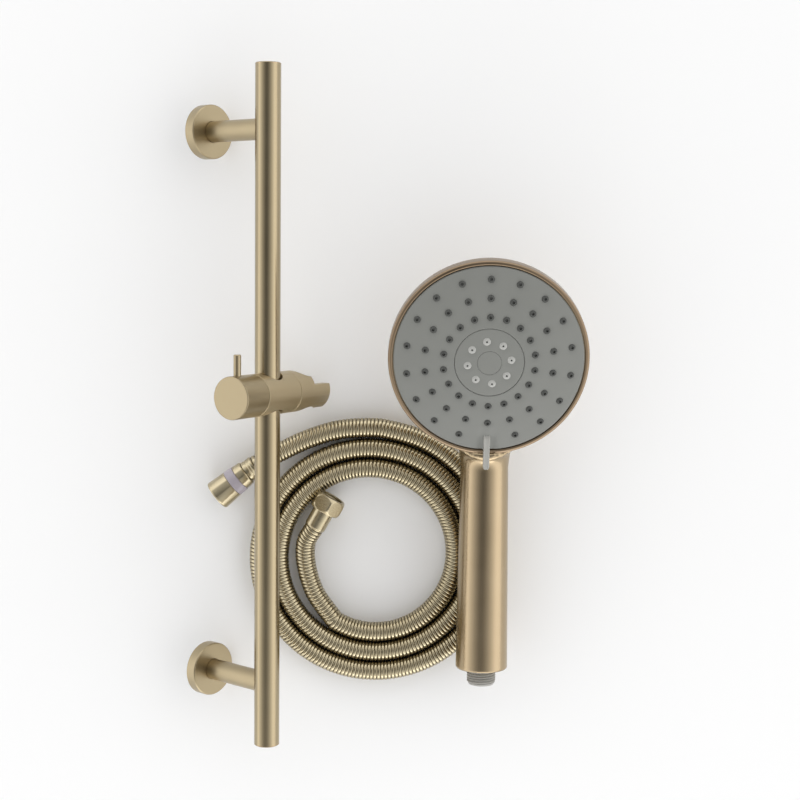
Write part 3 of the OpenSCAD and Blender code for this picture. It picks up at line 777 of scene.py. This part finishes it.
# %% [markdown]
# ## Plated metal
# All the metal is satin: brushed, plated with bronze and sealed.  What sells it is not the colour but the
# roughness, which runs in fine lines along the brushing, and faint cloudy patches where fingers have been.
# One function makes every metal, with its two tones, its brushing and how rough it is.

# %% Metals
def plated(name, tone, shade, rough, brushing, scratches=0.03):
    """Metal with brushing: stretched noise moves the roughness and a fine bump, and a slow, large noise
    blends the two tones and clouds the roughness."""
    def recipe(start, where):
        lines, clouds = noise(start, where, brushing, 4.0), noise(start, where, 38.0, 2.0)
        return {"Base Color": (clouds * 0.7 + lines * 0.3).mixed(shade, tone),
                "Roughness": clouds * 0.06 + lines * 0.08 + (rough - 0.07),
                "Height": (lines, scratches)}
    return finish(name, recipe, Metallic=1.0)


BRONZE, BRONZE_DARK = (0.405, 0.335, 0.215, 1), (0.37, 0.30, 0.187, 1)
GOLD, GOLD_DARK = (0.53, 0.46, 0.315, 1), (0.45, 0.385, 0.25, 1)
rail_bronze = plated("rail_bronze", BRONZE, BRONZE_DARK,
                     rough=0.24, brushing=(2600, 60, 2600))
turned_bronze = plated("turned_bronze", BRONZE, BRONZE_DARK,
                       rough=0.34, brushing=3200.0)
slider_bronze = plated("slider_bronze", (0.49, 0.405, 0.265, 1), (0.45, 0.37, 0.235, 1),
                       rough=0.42, brushing=3200.0)
# The rim is darker and redder than the shell: partly its own plating tone, partly painted shade standing in for
# the dark reflection along its wall.
rim_tone_and_painted_shade = plated("rim_tone_and_painted_shade", (0.30, 0.225, 0.15, 1), (0.255, 0.185, 0.12, 1),
                    rough=0.30, brushing=2400.0)
shell_bronze = plated("shell_bronze", (0.455, 0.36, 0.235, 1), (0.39, 0.30, 0.185, 1),
                      rough=0.25, brushing=(1800, 50, 1800))
nut_gold = plated("nut_gold", GOLD, GOLD_DARK,
                  rough=0.28, brushing=2800.0)
inner_steel = plated("inner_steel", (0.60, 0.59, 0.56, 1), (0.5, 0.49, 0.46, 1),
                     rough=0.32, brushing=800.0)


def wound(start, where):
    """The hose's metal: shiny crests, and grooves painted near black as shade and made rougher, the more the
    deeper the attribute depth says they lie.
    """
    grime, clouds = noise(start, where, 260.0, 4.0), noise(start, where, 30.0, 2.0)
    dip = start.node("ShaderNodeAttribute", {"attribute_name": "depth"}, {}, 2)
    # The grooves' near-black colour is painted shade.
    return {"Base Color": dip.mixed(clouds.mixed(GOLD_DARK, GOLD), (0.05, 0.035, 0.018, 1)),
            "Roughness": grime * 0.12 + clouds * 0.06 + dip * 0.3 + 0.14,
            "Height": (grime, 0.05)}


hose_gold = finish("hose_gold", wound, Metallic=1.0)
print("metals made")

# %% [markdown]
# ## Plastic and rubber
# Moulded grey plastic has a fine, even matt texture and a slow variation in tone; rubber is darker and has
# a dusty bloom.  Both are the same recipe with other numbers.

# %% Plastics
def moulded(name, tone, shade, rough, grain, depth, holes=False):
    """Two close tones blended by a slow noise, and a fine grain that moves the roughness and the bump.
    With holes set, the colour falls to black where the attribute depth is 1: painted shade in the nozzle holes."""
    def recipe(start, where):
        fine, slow = noise(start, where, grain), noise(start, where, 45.0, 2.0)
        colour = (slow * 0.75 + fine * 0.25).mixed(shade, tone)
        if holes:
            # Painted shade: black inside the holes.
            hole_shade = start.node("ShaderNodeAttribute", {"attribute_name": "depth"}, {}, 2)
            colour = hole_shade.mixed(colour, (0.004, 0.004, 0.004, 1))
        return {"Base Color": colour,
                "Roughness": fine * 0.16 + slow * 0.08 + (rough - 0.12),
                "Height": (fine, depth)}
    return finish(name, recipe)


grey_plastic = moulded("grey_plastic", (0.222, 0.225, 0.208, 1), (0.198, 0.202, 0.186, 1),
                       rough=0.52, grain=2400.0, depth=0.2)
light_plastic = moulded("light_plastic", (0.40, 0.395, 0.365, 1), (0.35, 0.345, 0.32, 1),
                        rough=0.42, grain=1600.0, depth=0.1)
spot_plastic = moulded("spot_plastic", (0.44, 0.44, 0.415, 1), (0.38, 0.38, 0.36, 1),
                       rough=0.45, grain=1600.0, depth=0.1, holes=True)
inlet_plastic = moulded("inlet_plastic", (0.40, 0.39, 0.36, 1), (0.33, 0.32, 0.295, 1),
                        rough=0.40, grain=1400.0, depth=0.15)
liner_plastic = moulded("liner_plastic", (0.20, 0.195, 0.18, 1), (0.16, 0.155, 0.145, 1),
                        rough=0.30, grain=1200.0, depth=0.1)
band_plastic = moulded("band_plastic", (0.44, 0.40, 0.45, 1), (0.38, 0.345, 0.385, 1),
                       rough=0.30, grain=900.0, depth=0.08)
nozzle_rubber = moulded("nozzle_rubber", (0.07, 0.072, 0.066, 1), (0.05, 0.052, 0.048, 1),
                        rough=0.6, grain=1800.0, depth=0.2, holes=True)
print("plastics made")

# %% [markdown]
# ## Every piece joins the model
# Each new piece rides on the same body as the CAD parts that it stands for, so that it moves with them.
# The CAD parts that stay in sight get a finish by the material slot that the model's record gives them.

# %% Pieces, bodies and finishes
def join(piece, body, slot, material, *nodes):
    """piece rides on body, stands for the CAD nodes and has this finish."""
    piece.data.materials.clear()
    piece.data.materials.append(material)
    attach(piece, body)
    if nodes:
        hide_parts(*nodes)


FINISH_OF_SLOT = {
    "satin_bronze_brass": turned_bronze, "hose_end_brass": nut_gold, "rail_bronze": rail_bronze,
    "hose_metal": hose_gold, "bronze_plastic": shell_bronze, "inner_steel": inner_steel,
    "grey_plastic": grey_plastic, "light_grey_plastic": light_plastic, "liner_plastic": liner_plastic,
    "band_plastic": band_plastic, "nozzle_rubber": nozzle_rubber,
}
slot_of = {part["node"]: part["material_slot"] for part in frame["record"]["subparts"]}
for name, cad_part in frame["nodes"].items():
    cad_part.data.materials.clear()
    cad_part.data.materials.append(FINISH_OF_SLOT[slot_of[name]])

join(hose, "hose", "hose_metal", hose_gold, "hose_coil", "hose_lead", "hose_tail")
join(outer_sleeve, "hose", "hose_end_brass", nut_gold, "outer_ferrule")
join(inner_sleeve, "hose", "hose_end_brass", nut_gold, "inner_ferrule")
join(cone_nut, "cone_nut", "hose_end_brass", nut_gold, "cone_nut")
join(cone_band, "cone_nut", "band_plastic", band_plastic, "cone_nut_band")
join(hex_nut, "hex_nut", "hose_end_brass", nut_gold, "hex_nut")
join(handset_body, "handset", "bronze_plastic", shell_bronze, "handset_shell")
join(rim, "handset", "bronze_plastic", rim_tone_and_painted_shade)
join(inlet, "handset", "light_grey_plastic", inlet_plastic, "inlet_connector")
join(face, "spray_face", "grey_plastic", grey_plastic, "spray_face")
join(insert, "handset", "grey_plastic", grey_plastic, "centre_insert", "centre_cap")
join(tab, "spray_face", "light_grey_plastic", light_plastic, "mode_tab")
centre_spots = nubs.pop("centre_nozzles")
join(centre_spots, "handset", "light_grey_plastic", spot_plastic, "centre_nozzles")
for node, piece in nubs.items():
    join(piece, "spray_face", "nozzle_rubber", nozzle_rubber, node)
for node, piece in machined.items():
    body = next(b for b, nodes in frame["record"]["behaviour"]["bodies"].items() if node in nodes)
    material = slider_bronze if node in ("slider_body", "holder") else FINISH_OF_SLOT[slot_of[node]]
    join(piece, body, slot_of[node], material, node)

# %% [markdown]
# ## Floor and light
# Satin metal shows what surrounds it: bright bands where it mirrors a pale wall low down, and a dark band
# where it mirrors the dim space overhead.  So the light is a sky that is dim at the top and bright near the
# horizon, tilted a little to one side, and the floor is a plain near-white sheet.

# %% Floor, sky and lamp
floor_grid = np.stack(np.meshgrid([-4.0, 4.0], [-4.0, 4.0], [-0.0004]), axis=-1).reshape(2, 2, 3)
floor = piece_from_grids("floor", [(floor_grid, False, False)])
floor.data.materials.append(finish("floor_paper",
    lambda start, where: {"Base Color": noise(start, where, 3.0).mixed((0.955, 0.955, 0.955, 1),
                                                                     (0.97, 0.97, 0.97, 1))},
    Roughness=0.9))

DIM_POLE = np.array([-np.sin(np.radians(7)), 0, np.cos(np.radians(7))])
SKY_STRENGTH = 2.1
SKY = [(0.0, 0.84), (0.3, 0.88), (0.50, 0.70), (0.62, 0.54), (0.79, 0.36), (0.93, 0.18), (1.0, 0.06)]
world = bpy.data.worlds.new("studio")
world.use_nodes = True
bpy.context.scene.world = world
start = Wire(world.node_tree)
direction = start.node("ShaderNodeTexCoord")
height = start.node("ShaderNodeVectorMath", {"operation": "DOT_PRODUCT"},
                    {0: direction, 1: tuple(DIM_POLE)}, 1)
sky = start.node("ShaderNodeValToRGB", {"stops": SKY}, {0: height})
start.feed(world.node_tree.nodes["Background"], {"Color": sky, "Strength": SKY_STRENGTH})


def lamp(name, place, size, power):
    data = bpy.data.lights.new(name, "AREA")
    data.shape, data.size, data.size_y, data.energy = "RECTANGLE", size[0], size[1], power
    made = bpy.data.objects.new(name, data)
    bpy.context.scene.collection.objects.link(made)
    axes = axes_of(np.array(place, float), side=(0, 1, 0))
    m = np.eye(4)
    m[:3, :3], m[:3, 3] = axes, place
    made.matrix_world = Matrix(m.tolist())


lamp("front_softbox", place=(0.3, -1.9, 0.5), size=(1.8, 0.5), power=5)
bpy.context.scene.view_settings.view_transform = "Standard"
print("floor, sky and lamp set")
